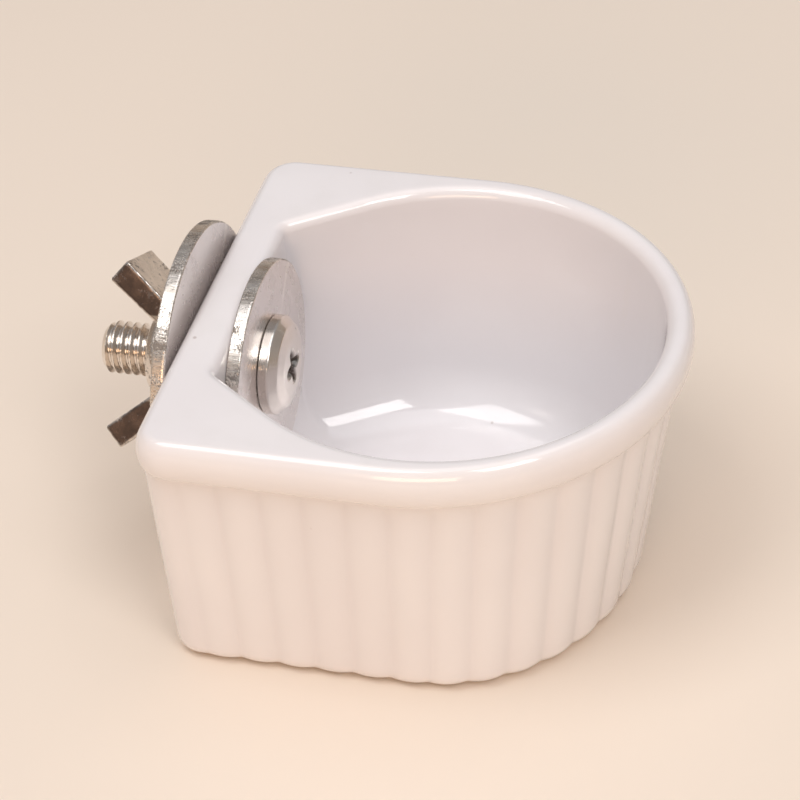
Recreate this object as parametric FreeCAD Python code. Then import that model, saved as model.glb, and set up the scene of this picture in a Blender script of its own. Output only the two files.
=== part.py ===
import FreeCAD, Part

import math
import os

from FreeCAD import Matrix, Vector

# Small screw-on feeding cup for the wall of a cage or hutch, in millimetres.
# Origin: middle of the cup's length, on the plane that it stands on. +X points to the rounded
# front and +Z up. The flat back faces -X and carries the clamp screw, its washers and wing nut.

# Cup, outside
CUP_LENGTH = 54.2
CUP_WIDTH = 52.8
CUP_HEIGHT = 33.3
FRONT_LENGTH = 28.2
BACK_CORNER_R = 4.0
SIDE_DRAFT = 2.4
FRONT_DRAFT = 5.6
FRONT_SHIFT = 3.1
FOOT_EDGE_R = 2.2

# Rolled rim, proud of the walls except at the back
RIM_HEIGHT = 4.6
RIM_OVERHANG = 1.1
RIM_TOP_R = 1.8
RIM_UNDER_R = 0.9

# Shallow grooves between the flutes on the sides and the front
FLUTE_PITCH = 4.5
GROOVE_R = 1.0
GROOVE_DEPTH = 0.4
GROOVE_TOP_GAP = 1.0

# Hollow
BACK_WALL = 5.7
SIDE_WALL = 3.6
FRONT_WALL = 3.2
HOLLOW_BACK_WIDTH = 25.8
HOLLOW_FRONT_LENGTH = 23.6
HOLLOW_CORNER_R = 0.8
HOLLOW_SIDE_DRAFT = 2.6
HOLLOW_FRONT_DRAFT = 4.2
FLOOR_THICKNESS = 4.0
FLOOR_R = 6.0
MOUTH_R = 1.2

# Clamp screw, M6 coarse, with a low cross-recessed head
SCREW_HEIGHT = 24.1
THREAD_MAJOR = 5.9
THREAD_PITCH = 1.0
THREAD_DEPTH = 0.56 * THREAD_PITCH
THREAD_ROOT = 0.2 * THREAD_PITCH
THREADED_LENGTH = 16.0
SCREW_LENGTH = 19.0
TIP_CHAMFER = 0.7
HEAD_DIAMETER = 11.0
HEAD_SIDE = 1.1
HEAD_SHOULDER = 0.9
HEAD_DOME = 0.5
RECESS_SPAN = 4.4
RECESS_ARM = 0.95
RECESS_DEPTH = 1.5
HOLE_DIAMETER = 6.6

# Washers
INNER_WASHER_DIAMETER = 25.0
INNER_WASHER_BORE = 8.4
OUTER_WASHER_DIAMETER = 30.0
OUTER_WASHER_BORE = 6.4
WASHER_THICKNESS = 1.5
WASHER_EDGE = 0.2

# Wing nut with square-ended wings
NUT_HUB_DIAMETER = 10.0
NUT_HUB_HEIGHT = 4.4
NUT_MOUTH_CHAMFER = 0.4
WING_SPAN = 21.0
WING_REACH = 6.9
WING_WIDTH = 8.0
WING_TIP = 2.9
WING_ROOT = 2.3
WING_ANGLE = 40.0
WING_TURN = 27.0
WING_CORNER_R = 0.5

# Extra left on the back before it is ground flat
BACK_TRIM = 0.05

# Clearances
CONTACT_GAP = 0.05
THREAD_CLEARANCE = 0.1
SWEEP_REACHES = (0.2, 0.3, 0.5, 0.1, 0.4, 0.7)
SWEEP_TOLERANCE = 0.08

# Places worked out from the sizes above
THREAD_R = THREAD_MAJOR / 2
ROOT_R = THREAD_R - THREAD_DEPTH
FLANK = math.tan(math.radians(30))
BACK_X = -CUP_LENGTH / 2
SEAT_X = BACK_X + BACK_WALL
INNER_WASHER_X = SEAT_X + CONTACT_GAP
HEAD_X = INNER_WASHER_X + WASHER_THICKNESS + CONTACT_GAP
TIP_X = HEAD_X - SCREW_LENGTH
OUTER_WASHER_X = BACK_X - CONTACT_GAP - WASHER_THICKNESS
NUT_X = OUTER_WASHER_X - CONTACT_GAP
INNER_WASHER_HANG = INNER_WASHER_BORE / 2 - THREAD_R - THREAD_CLEARANCE
ALONG_X = Vector(1, 0, 0)
ALONG_Z = Vector(0, 0, 1)


def on_axis(x, drop=0.0):
    """A point on the screw's axis, or straight below it."""
    return Vector(x, 0, SCREW_HEIGHT - drop)


def front_arc(centre, reach, half_width, angle, z):
    """The elliptical front at height z: a unit arc stretched to its reach and half width."""
    unit = Part.ArcOfCircle(Part.Circle(Vector(0, 0, 0), ALONG_Z, 1), -angle, angle).toShape()
    stretch = Matrix(reach, 0, 0, centre, 0, half_width, 0, 0, 0, 0, 1, z)
    return unit.transformGeometry(stretch).Edges[0]


def outline_edges(back, back_half, half_width, front, front_length, corner_r, z):
    """Edges of a flat-backed D at height z: back, corner, side, front, side, corner."""
    centre = front - front_length
    across = (back - centre) / front_length
    up = back_half / half_width
    angle = math.atan2(up, across) - math.acos(1 / math.hypot(across, up))
    touch = Vector(centre + front_length * math.cos(angle), half_width * math.sin(angle), z)
    corner = Vector(back, back_half, z)
    side = (touch - corner).normalize()
    half_angle = math.acos(-side.y) / 2
    trim = corner_r / math.tan(half_angle)
    on_back = corner - Vector(0, trim, 0)
    on_side = corner + side * trim
    inward = (side - Vector(0, 1, 0)).normalize()
    bulge = corner + inward * (corner_r / math.sin(half_angle) - corner_r)

    def mirrored(point):
        return Vector(point.x, -point.y, point.z)

    return [
        Part.LineSegment(mirrored(on_back), on_back).toShape(),
        Part.Arc(on_back, bulge, on_side).toShape(),
        Part.LineSegment(on_side, touch).toShape(),
        front_arc(centre, front_length, half_width, angle, z),
        Part.LineSegment(mirrored(touch), mirrored(on_side)).toShape(),
        Part.Arc(mirrored(on_side), mirrored(bulge), mirrored(on_back)).toShape(),
    ]


def wall_edges(z, inset):
    """Outside of the cup at height z, drawn in by inset and by the walls' draft."""
    low = 1 - z / CUP_HEIGHT
    half_width = CUP_WIDTH / 2 - inset - SIDE_DRAFT * low
    front = CUP_LENGTH / 2 - inset - FRONT_DRAFT * low
    front_length = FRONT_LENGTH - (FRONT_DRAFT + FRONT_SHIFT) * low
    back = BACK_X - BACK_TRIM
    return outline_edges(back, half_width, half_width, front, front_length, BACK_CORNER_R, z)


def hollow_edges(z, inset, corner_r):
    """Inside of the cup at height z. The flat at the back keeps its width down to the floor."""
    low = 1 - z / CUP_HEIGHT
    return outline_edges(
        SEAT_X + inset,
        HOLLOW_BACK_WIDTH / 2 - inset / 2,
        CUP_WIDTH / 2 - SIDE_WALL - HOLLOW_SIDE_DRAFT * low - inset,
        CUP_LENGTH / 2 - FRONT_WALL - HOLLOW_FRONT_DRAFT * low - inset,
        HOLLOW_FRONT_LENGTH - (HOLLOW_FRONT_DRAFT - HOLLOW_SIDE_DRAFT) * low - inset,
        corner_r,
        z,
    )


def make_hollow():
    """The feed space: drafted walls that run into the floor through a quarter round."""
    heights = [(CUP_HEIGHT, 0.0), ((CUP_HEIGHT + FLOOR_THICKNESS + FLOOR_R) / 2, 0.0)]
    for degrees in (0, 20, 40, 60, 75, 90):
        turn = math.radians(degrees)
        z = FLOOR_THICKNESS + FLOOR_R * (1 - math.sin(turn))
        heights.append((z, FLOOR_R * (1 - math.cos(turn))))
    wires = [Part.Wire(hollow_edges(z, inset, HOLLOW_CORNER_R)) for z, inset in heights]
    return Part.makeLoft(wires, True, True)


def edges_at(shape, z):
    """The edges of a shape that lie flat at height z."""
    boxes = [(edge, edge.BoundBox) for edge in shape.Edges]
    return [edge for edge, box in boxes if abs(box.ZMin - z) + abs(box.ZMax - z) < 1e-4]


def mouth_edges(cup):
    """The edges between the hollow and the rim's flat top."""
    boxes = [(edge, edge.BoundBox) for edge in edges_at(cup, CUP_HEIGHT)]
    inside = CUP_LENGTH / 2 - FRONT_WALL / 2
    return [edge for edge, box in boxes if box.XMin > SEAT_X - MOUTH_R and box.XMax < inside]


def fluted_stations(z, count):
    """Evenly spaced points along the sides and the front at height z."""
    edges = wall_edges(z, RIM_OVERHANG)
    return Part.Wire(edges[2:5]).discretize(Number=count)


def make_grooves():
    """The soft valleys between the flutes, leaning with the walls."""
    top = CUP_HEIGHT - RIM_HEIGHT - GROOVE_TOP_GAP
    run = Part.Wire(wall_edges(top, RIM_OVERHANG)[2:5]).Length
    count = round(run / FLUTE_PITCH) + 1
    grooves = []
    for low, high in zip(fluted_stations(0, count), fluted_stations(top, count)):
        outward = Vector(high.x - (CUP_LENGTH / 2 - FRONT_LENGTH), high.y, 0)
        if high.x < CUP_LENGTH / 2 - FRONT_LENGTH:
            outward = Vector(0, high.y, 0)
        shift = outward.normalize() * (GROOVE_R - GROOVE_DEPTH)
        lean = (high - low).normalize()
        start = low + shift - lean * GROOVE_R
        grooves.append(Part.makeCylinder(GROOVE_R, (high + shift - start).Length, start, lean))
    return Part.makeCompound(grooves)


def make_cup():
    under_rim = CUP_HEIGHT - RIM_HEIGHT
    levels = (0, under_rim + RIM_UNDER_R)
    walls = Part.makeLoft([Part.Wire(wall_edges(z, RIM_OVERHANG)) for z in levels], True, True)
    walls = walls.makeFillet(FOOT_EDGE_R, edges_at(walls, 0))
    walls = walls.cut(make_grooves())
    rim_face = Part.Face(Part.Wire(wall_edges(CUP_HEIGHT, 0)))
    rim_face.translate(Vector(0, 0, -RIM_HEIGHT))
    rim = rim_face.extrude(Vector(0, 0, RIM_HEIGHT))
    rim = rim.makeFillet(RIM_TOP_R, edges_at(rim, CUP_HEIGHT))
    rim = rim.makeFillet(RIM_UNDER_R, edges_at(rim, under_rim)[1:])
    hollow = make_hollow()
    body = walls.fuse(rim).removeSplitter().cut(hollow)
    body = body.makeFillet(MOUTH_R, mouth_edges(body))
    hole = Part.makeCylinder(HOLE_DIAMETER / 2, 2 * BACK_WALL, on_axis(BACK_X - BACK_WALL / 2), ALONG_X)
    return grind_back(body).cut(hole)


def grind_back(body):
    """Take the back down to one true flat from rim to foot."""
    corner = Vector(BACK_X - BACK_WALL, -CUP_WIDTH, -CUP_HEIGHT / 2)
    wheel = Part.makeBox(BACK_WALL, 2 * CUP_WIDTH, 2 * CUP_HEIGHT, corner)
    return body.cut(wheel)


def make_washer(centre, diameter, bore):
    """A flat washer whose outer edges are broken."""
    disc = Part.makeCylinder(diameter / 2, WASHER_THICKNESS, centre, ALONG_X)
    rims = [edge for edge in disc.Edges if edge.Closed]
    disc = disc.makeChamfer(WASHER_EDGE, rims)
    return disc.cut(Part.makeCylinder(bore / 2, WASHER_THICKNESS, centre, ALONG_X))


def groove_sweep(root_r, root_half, outer_r, first_turn, turns):
    """A right-hand thread's groove about +Z, starting a whole number of turns along the axis."""
    start = first_turn * THREAD_PITCH
    outer_half = root_half + (outer_r - root_r) * FLANK
    corners = [
        Vector(root_r, 0, start - root_half),
        Vector(outer_r, 0, start - outer_half),
        Vector(outer_r, 0, start + outer_half),
        Vector(root_r, 0, start + root_half),
    ]
    profile = Part.makePolygon(corners + corners[:1])
    helix = Part.makeHelix(THREAD_PITCH, turns * THREAD_PITCH, root_r)
    helix.translate(ALONG_Z * start)
    return Part.Wire(helix.Edges).makePipeShell([profile], True, True)


def cut_thread(rod, rod_r, root_r, root_half, turns):
    """Cut a thread up a rod about +Z, trying sweeps of other heights until the cut comes out whole."""
    depth = rod_r - root_r
    section = depth * (2 * root_half + depth * FLANK)
    expected = section * 2 * math.pi * (root_r + depth / 2) * turns
    best, best_miss = rod, expected
    for reach in SWEEP_REACHES:
        groove = groove_sweep(root_r, root_half, rod_r + reach, -1, turns + 1)
        try:
            threaded = rod.cut(groove)
        except ValueError:
            continue
        if len(threaded.Solids) != 1 or not threaded.isValid():
            continue
        miss = abs(rod.Volume - threaded.Volume - expected)
        if miss < best_miss:
            best, best_miss = threaded, miss
        if miss < SWEEP_TOLERANCE * expected:
            break
    if best is rod:
        raise RuntimeError("no sweep cut a whole thread")
    return best


def lay_along_screw(shape):
    """Turn a shape made about +Z from the tip upwards onto the screw's axis."""
    shape.rotate(Vector(0, 0, 0), Vector(0, 1, 0), 90)
    shape.translate(on_axis(TIP_X))
    return shape


def make_screw():
    shank = Part.makeCylinder(THREAD_R, SCREW_LENGTH)
    tip = Part.makeCone(THREAD_R - TIP_CHAMFER, THREAD_R + SCREW_LENGTH - TIP_CHAMFER, SCREW_LENGTH)
    shank = shank.common(tip)
    shank = cut_thread(shank, THREAD_R, ROOT_R, THREAD_ROOT / 2, THREADED_LENGTH / THREAD_PITCH)
    return lay_along_screw(shank).fuse(make_head())


def make_head():
    """Low head with a short straight side, a sloping shoulder and a shallow dome."""
    half = HEAD_DIAMETER / 2
    shoulder = Vector(HEAD_X + HEAD_SIDE, 0, half)
    brow = Vector(HEAD_X + HEAD_SIDE + HEAD_SHOULDER, 0, half - HEAD_SHOULDER)
    crown = Vector(brow.x + HEAD_DOME, 0, 0)
    dome_r = (brow.z ** 2 + HEAD_DOME ** 2) / (2 * HEAD_DOME)
    dome_mid = Vector(crown.x - dome_r + math.sqrt(dome_r ** 2 - brow.z ** 2 / 4), 0, brow.z / 2)
    profile = Part.Wire([
        Part.LineSegment(Vector(HEAD_X, 0, 0), Vector(HEAD_X, 0, half)).toShape(),
        Part.LineSegment(Vector(HEAD_X, 0, half), shoulder).toShape(),
        Part.LineSegment(shoulder, brow).toShape(),
        Part.Arc(brow, dome_mid, crown).toShape(),
        Part.LineSegment(crown, Vector(HEAD_X, 0, 0)).toShape(),
    ])
    head = Part.Face(profile).revolve(Vector(0, 0, 0), ALONG_X, 360)
    head.translate(on_axis(0))
    return head.cut(make_recess(crown.x))


def make_recess(face_x):
    """Cross recess: two tapered blades that narrow towards the bottom."""
    bottom_x = face_x - RECESS_DEPTH
    top_x = face_x + CONTACT_GAP
    blades = []
    for turn in (0, 90):
        mouth = bar_section(top_x, RECESS_SPAN, RECESS_ARM)
        foot = bar_section(bottom_x, RECESS_SPAN / 3, RECESS_ARM * 0.7)
        blade = Part.makeLoft([foot, mouth], True, True)
        blade.rotate(Vector(0, 0, 0), ALONG_X, turn)
        blades.append(blade)
    recess = blades[0].fuse(blades[1])
    recess.translate(on_axis(0))
    return recess


def bar_section(x, length, width):
    """A rectangle across the X axis."""
    corners = [(-1, -1), (1, -1), (1, 1), (-1, 1), (-1, -1)]
    return Part.makePolygon([Vector(x, a * width / 2, b * length / 2) for a, b in corners])


def make_wing(side):
    """One wing as a wedge in the plane of the screw's axis, given its width across that plane."""
    lean = Vector(-math.cos(math.radians(WING_ANGLE)), 0, math.sin(math.radians(WING_ANGLE)))
    across = Vector(lean.z, 0, -lean.x)
    tip = Vector(NUT_X - WING_REACH, 0, WING_SPAN / 2) - across * (WING_TIP / 2)
    length = (WING_SPAN / 2 - NUT_HUB_DIAMETER / 4) / lean.z
    root = tip - lean * length
    corners = [
        tip + across * (WING_TIP / 2),
        root + across * (WING_ROOT / 2),
        root - across * (WING_ROOT / 2),
        tip - across * (WING_TIP / 2),
    ]
    wing = Part.Face(Part.makePolygon(corners + corners[:1])).extrude(Vector(0, WING_WIDTH, 0))
    wing.translate(Vector(0, -WING_WIDTH / 2, 0))
    halfway = (tip.z + root.z) / 2
    ends = [e for e in wing.Edges if e.BoundBox.YLength > WING_WIDTH / 2 and e.BoundBox.ZMin > halfway]
    wing = wing.makeFillet(WING_CORNER_R, ends)
    wing.rotate(Vector(0, 0, 0), ALONG_X, 90 - 90 * side)
    return wing


def make_nut():
    hub = Part.makeCylinder(NUT_HUB_DIAMETER / 2, NUT_HUB_HEIGHT, Vector(NUT_X, 0, 0), -ALONG_X)
    body = hub.fuse(make_wing(1)).fuse(make_wing(-1))
    front = Part.makeBox(WING_SPAN, WING_SPAN * 2, WING_SPAN * 2, Vector(NUT_X, -WING_SPAN, -WING_SPAN))
    body = body.cut(front)
    body.rotate(Vector(0, 0, 0), ALONG_X, -WING_TURN)
    body.translate(on_axis(0))
    return body.cut(make_nut_bore())


def make_nut_bore():
    """The screw's own thread with clearance on every face, and a chamfer at each mouth."""
    tap_r = THREAD_R + THREAD_CLEARANCE
    ridge_r = ROOT_R + THREAD_CLEARANCE
    ridge_half = THREAD_ROOT / 2 + THREAD_CLEARANCE * FLANK - THREAD_CLEARANCE / math.cos(math.radians(30))
    turns = math.ceil(SCREW_LENGTH / THREAD_PITCH)
    tap = Part.makeCylinder(tap_r, turns * THREAD_PITCH)
    tap = lay_along_screw(cut_thread(tap, tap_r, ridge_r, ridge_half, turns + 1))
    low_mouth = on_axis(NUT_X - NUT_HUB_HEIGHT)
    high_mouth = on_axis(NUT_X)
    for mouth, way in ((low_mouth, ALONG_X), (high_mouth, -ALONG_X)):
        wide = tap_r + NUT_MOUTH_CHAMFER / 2
        cone = Part.makeCone(wide, wide - 2 * NUT_MOUTH_CHAMFER, 2 * NUT_MOUTH_CHAMFER, mouth, way)
        tap = tap.fuse(cone)
    return tap


def main():
    os.makedirs("parts", exist_ok=True)
    inner_centre = on_axis(INNER_WASHER_X, INNER_WASHER_HANG)
    outer_centre = on_axis(OUTER_WASHER_X)
    pieces = {
        "feeder_cup": make_cup(),
        "mounting_screw": make_screw(),
        "inner_washer": make_washer(inner_centre, INNER_WASHER_DIAMETER, INNER_WASHER_BORE),
        "outer_washer": make_washer(outer_centre, OUTER_WASHER_DIAMETER, OUTER_WASHER_BORE),
        "wing_nut": make_nut(),
    }
    for name, shape in pieces.items():
        print(name, shape.ShapeType, len(shape.Solids), shape.isValid(), round(shape.Volume, 1))
        shape.exportStep(f"parts/{name}.step")


main()
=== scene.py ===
import math

import bmesh
import bpy
import numpy as np
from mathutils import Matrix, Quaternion, Vector


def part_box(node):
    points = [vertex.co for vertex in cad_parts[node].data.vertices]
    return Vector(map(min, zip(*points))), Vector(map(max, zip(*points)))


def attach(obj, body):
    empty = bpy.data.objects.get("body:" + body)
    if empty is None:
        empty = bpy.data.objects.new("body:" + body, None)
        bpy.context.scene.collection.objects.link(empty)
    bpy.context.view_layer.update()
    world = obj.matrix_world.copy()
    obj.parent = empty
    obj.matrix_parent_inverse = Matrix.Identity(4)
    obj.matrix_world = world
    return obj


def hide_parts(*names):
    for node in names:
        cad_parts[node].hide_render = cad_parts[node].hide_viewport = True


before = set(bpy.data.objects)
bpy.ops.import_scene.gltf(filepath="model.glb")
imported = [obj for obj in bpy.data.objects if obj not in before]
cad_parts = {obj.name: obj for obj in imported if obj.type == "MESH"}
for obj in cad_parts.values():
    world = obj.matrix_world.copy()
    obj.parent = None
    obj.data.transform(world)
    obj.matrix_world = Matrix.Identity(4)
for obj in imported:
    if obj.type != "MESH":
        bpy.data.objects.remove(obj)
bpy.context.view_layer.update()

MM = 0.001

# Places taken from the frame
CUP_LOW, CUP_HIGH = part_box("feeder_cup")
SCREW_LOW, SCREW_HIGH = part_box("mounting_screw")
NUT_LOW, NUT_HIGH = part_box("wing_nut")
BACK_X = CUP_LOW[0]
FRONT_X = CUP_HIGH[0]
HALF_WIDTH = CUP_HIGH[1]
CUP_HEIGHT = CUP_HIGH[2]
AXIS_Z = (SCREW_LOW[2] + SCREW_HIGH[2]) / 2
TIP_X = SCREW_LOW[0]
CROWN_X = SCREW_HIGH[0]

# Cup
FRONT_LENGTH = 28.2 * MM
BACK_CORNER_R = 4.0 * MM
SIDE_DRAFT = 2.4 * MM
FRONT_DRAFT = 5.6 * MM
FRONT_SHIFT = 3.1 * MM
FOOT_EDGE_R = 2.2 * MM
RIM_HEIGHT = 4.6 * MM
RIM_OVERHANG = 1.1 * MM
RIM_TOP_R = 1.75 * MM
BACK_WALL = 5.7 * MM
SIDE_WALL = 3.6 * MM
FRONT_WALL = 3.2 * MM
HOLLOW_BACK_WIDTH = 25.8 * MM
HOLLOW_FRONT_LENGTH = 23.6 * MM
HOLLOW_CORNER_R = 0.8 * MM
HOLLOW_SIDE_DRAFT = 2.6 * MM
HOLLOW_FRONT_DRAFT = 4.2 * MM
FLOOR_THICKNESS = 4.0 * MM
FLOOR_R = 6.0 * MM
MOUTH_R = 1.3 * MM
FLUTE_PITCH = 4.5 * MM
FLUTE_DEPTH = 0.42 * MM
HOLE_R = 3.3 * MM
HOLE_FLARE = 0.5 * MM
SEAT_X = BACK_X + BACK_WALL
UNDER_RIM_Z = CUP_HEIGHT - RIM_HEIGHT
NECK_R = 0.5 * MM
NECK_Z = UNDER_RIM_Z - 0.6 * MM
RIM_CREST_Z = UNDER_RIM_Z + 1.6 * MM
RIM_BELLY = 0.6 * MM
FLUTE_FADE = 2.4 * MM
FOOT_FLUTES = 0.35
QUARTER_TURN = math.radians(90)

# Screw, washers and nut
THREAD_R = 2.95 * MM
THREAD_PITCH = 1.0 * MM
THREAD_DEPTH = 0.56 * MM
THREADED_LENGTH = 16 * MM
THREAD_CLEARANCE = 0.1 * MM
THREAD_RUN_OUT = 1.2 * MM
BORE_RUN_OUT = 0.1 * MM
CREST_HALF, ROOT_HALF = 0.08, 0.39
TIP_CHAMFER = 0.7 * MM
HEAD_R = 5.5 * MM
HEAD_X = CROWN_X - 2.5 * MM
HEAD_SIDE = 1.1 * MM
HEAD_SHOULDER = 0.9 * MM
CROWN_R = 3.2 * MM
CROWN_DROP = 0.13 * MM
RECESS_SPAN = 4.4 * MM
RECESS_ARM = 1.1 * MM
RECESS_DEPTH = 1.5 * MM
SHADE_START, SHADE_RUN = 0.04 * MM, 0.22 * MM
INNER_BORE_R = 4.2 * MM
OUTER_BORE_R = 3.2 * MM
SHEAR_DEPTH = 0.06 * MM
SHEAR_FADE = 0.12 * MM
SHEARED_BAND = 0.18 * MM
HUB_R = 5.0 * MM
HUB_HEIGHT = 4.4 * MM
WING_REACH = 6.9 * MM
WING_SPAN = 21.0 * MM
WING_WIDTH = 8.0 * MM
WING_TIP = 2.9 * MM
WING_ROOT = 2.3 * MM
WING_LEAN = math.radians(40)
WING_TURN = math.radians(27)
NUT_MOUTH_FLARE = 0.9 * MM
REMESH_VOXEL = 0.13

# Finishes and painted shade tones, as linear colours
GLAZE_COOL, GLAZE_WARM = (0.86, 0.825, 0.835), (0.885, 0.855, 0.862)
# The first tone on the next line is painted shade for the flute valleys.
GLAZE_VALLEY_SHADE, GLAZE_RUBBED = (0.74, 0.69, 0.70), (0.86, 0.82, 0.80)
IRON_SPECK, GLAZE_DUST = (0.42, 0.33, 0.30), (0.72, 0.69, 0.66)
BISQUE_DARK, BISQUE_LIGHT = (0.70, 0.66, 0.60), (0.80, 0.77, 0.71)
# The first tone on the next line is painted shade for the hollows of the metal parts; the second is the
# colour of real pits.
PAINTED_HOLLOW_SHADE, PIT_TONE = (0.14, 0.115, 0.10), (0.16, 0.135, 0.12)
WORN_NICKEL, METAL_DUST = (0.93, 0.89, 0.84), (0.6, 0.57, 0.53)


# ---------------------------------------------------------------- node helpers

def add_node(tree, kind, **settings):
    """Add a node and set its plain properties."""
    node = tree.nodes.new(kind)
    for name, value in settings.items():
        setattr(node, name, value)
    return node


def calc(tree, operation, *values, clamp=False):
    """A Math node fed by sockets or numbers; returns its output."""
    node = add_node(tree, "ShaderNodeMath", operation=operation, use_clamp=clamp)
    for slot, value in zip(node.inputs, values):
        if isinstance(value, (int, float)):
            slot.default_value = value
        else:
            tree.links.new(value, slot)
    return node.outputs[0]


def remap(tree, value, low, high, to_low=0.0, to_high=1.0, smooth=True):
    node = add_node(tree, "ShaderNodeMapRange", interpolation_type="SMOOTHSTEP" if smooth else "LINEAR")
    for name, setting in (("From Min", low), ("From Max", high), ("To Min", to_low), ("To Max", to_high)):
        if isinstance(setting, (int, float)):
            node.inputs[name].default_value = setting
        else:
            tree.links.new(setting, node.inputs[name])
    tree.links.new(value, node.inputs["Value"])
    return node.outputs[0]


def new_group(name, kind, inputs, outputs):
    """A node group with named, typed inputs and outputs."""
    group = bpy.data.node_groups.new(name, kind)
    for label, socket_type, default in inputs:
        socket = group.interface.new_socket(name=label, in_out="INPUT", socket_type=socket_type)
        if default is not None:
            socket.default_value = default
    for label, socket_type in outputs:
        group.interface.new_socket(name=label, in_out="OUTPUT", socket_type=socket_type)
    entry = group.nodes.new("NodeGroupInput")
    way_out = group.nodes.new("NodeGroupOutput")
    return group, entry.outputs, way_out.inputs


def put_group(tree, group, **values):
    """Place a group in a material; underscores in the names stand for spaces."""
    node = add_node(tree, "ShaderNodeGroup", node_tree=group)
    for name, value in values.items():
        socket = node.inputs[name.replace("_", " ")]
        if isinstance(value, (int, float, tuple)):
            socket.default_value = value
        else:
            tree.links.new(value, socket)
    return node.outputs


# ---------------------------------------------------------------- shared effects

def make_fine_grain():
    """Uneven surface height and tone from two layers of noise."""
    group, given, result = new_group(
        "fine_grain", "ShaderNodeTree",
        [("Vector", "NodeSocketVector", None), ("Scale", "NodeSocketFloat", 400.0),
         ("Stretch", "NodeSocketVector", (1.0, 1.0, 1.0)), ("Roughness", "NodeSocketFloat", 0.55)],
        [("Height", "NodeSocketFloat"), ("Tone", "NodeSocketFloat")],
    )
    stretched = add_node(group, "ShaderNodeVectorMath", operation="MULTIPLY")
    group.links.new(given["Vector"], stretched.inputs[0])
    group.links.new(given["Stretch"], stretched.inputs[1])
    near = add_node(group, "ShaderNodeTexNoise")
    near.inputs["Detail"].default_value = 4.0
    broad = add_node(group, "ShaderNodeTexNoise")
    broad.inputs["Detail"].default_value = 2.0
    for noise in (near, broad):
        group.links.new(stretched.outputs[0], noise.inputs["Vector"])
        group.links.new(given["Roughness"], noise.inputs["Roughness"])
    group.links.new(given["Scale"], near.inputs["Scale"])
    group.links.new(calc(group, "MULTIPLY", given["Scale"], 0.17), broad.inputs["Scale"])
    group.links.new(near.outputs[0], result["Height"])
    group.links.new(broad.outputs[0], result["Tone"])
    return group


def make_pitting():
    """Small dark pits scattered in patches, as on worked or sheared metal."""
    group, given, result = new_group(
        "pitting", "ShaderNodeTree",
        [("Vector", "NodeSocketVector", None), ("Scale", "NodeSocketFloat", 2500.0),
         ("Amount", "NodeSocketFloat", 0.5), ("Patch Scale", "NodeSocketFloat", 300.0)],
        [("Mask", "NodeSocketFloat"), ("Height", "NodeSocketFloat")],
    )
    cells = add_node(group, "ShaderNodeTexNoise")
    cells.inputs["Detail"].default_value = 3.0
    cells.inputs["Roughness"].default_value = 0.7
    patches = add_node(group, "ShaderNodeTexNoise")
    patches.inputs["Detail"].default_value = 2.0
    for noise, scale in ((cells, "Scale"), (patches, "Patch Scale")):
        group.links.new(given["Vector"], noise.inputs["Vector"])
        group.links.new(given[scale], noise.inputs["Scale"])
    edge = calc(group, "SUBTRACT", 0.68, calc(group, "MULTIPLY", given["Amount"], 0.3))
    rise = calc(group, "SUBTRACT", patches.outputs[0], 0.5)
    threshold = calc(group, "SUBTRACT", edge, rise)
    mask = remap(group, cells.outputs[0], threshold, calc(group, "ADD", threshold, 0.09))
    group.links.new(mask, result["Mask"])
    group.links.new(calc(group, "SUBTRACT", 1.0, mask), result["Height"])
    return group


def make_edge_wear_and_hollows():
    """A mask that rises on convex edges, broken up by noise, and a Hollow mask that the plating uses to paint
    shade into hollows.
    """
    group, given, result = new_group(
        "edge_wear", "ShaderNodeTree",
        [("Vector", "NodeSocketVector", None), ("Sharpness", "NodeSocketFloat", 0.53),
         ("Breakup Scale", "NodeSocketFloat", 900.0)],
        [("Mask", "NodeSocketFloat"), ("Hollow", "NodeSocketFloat")],
    )
    shape = add_node(group, "ShaderNodeNewGeometry")
    noise = add_node(group, "ShaderNodeTexNoise")
    noise.inputs["Detail"].default_value = 3.0
    group.links.new(given["Vector"], noise.inputs["Vector"])
    group.links.new(given["Breakup Scale"], noise.inputs["Scale"])
    convex = remap(group, shape.outputs["Pointiness"], 0.505, given["Sharpness"])
    broken = remap(group, noise.outputs[0], 0.3, 0.6)
    group.links.new(calc(group, "MULTIPLY", convex, broken), result["Mask"])
    group.links.new(remap(group, shape.outputs["Pointiness"], 0.49, 0.44), result["Hollow"])
    return group


def make_dust():
    """Faint settled dust on faces that look upwards."""
    group, given, result = new_group(
        "settled_dust", "ShaderNodeTree",
        [("Vector", "NodeSocketVector", None), ("Amount", "NodeSocketFloat", 0.2),
         ("Scale", "NodeSocketFloat", 220.0)],
        [("Mask", "NodeSocketFloat")],
    )
    shape = add_node(group, "ShaderNodeNewGeometry")
    split = add_node(group, "ShaderNodeSeparateXYZ")
    group.links.new(shape.outputs["Normal"], split.inputs[0])
    noise = add_node(group, "ShaderNodeTexNoise")
    noise.inputs["Detail"].default_value = 5.0
    group.links.new(given["Vector"], noise.inputs["Vector"])
    group.links.new(given["Scale"], noise.inputs["Scale"])
    facing = remap(group, split.outputs["Z"], 0.2, 0.95)
    cloud = remap(group, noise.outputs[0], 0.45, 0.75)
    both = calc(group, "MULTIPLY", facing, cloud)
    group.links.new(calc(group, "MULTIPLY", both, given["Amount"]), result["Mask"])
    return group


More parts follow.
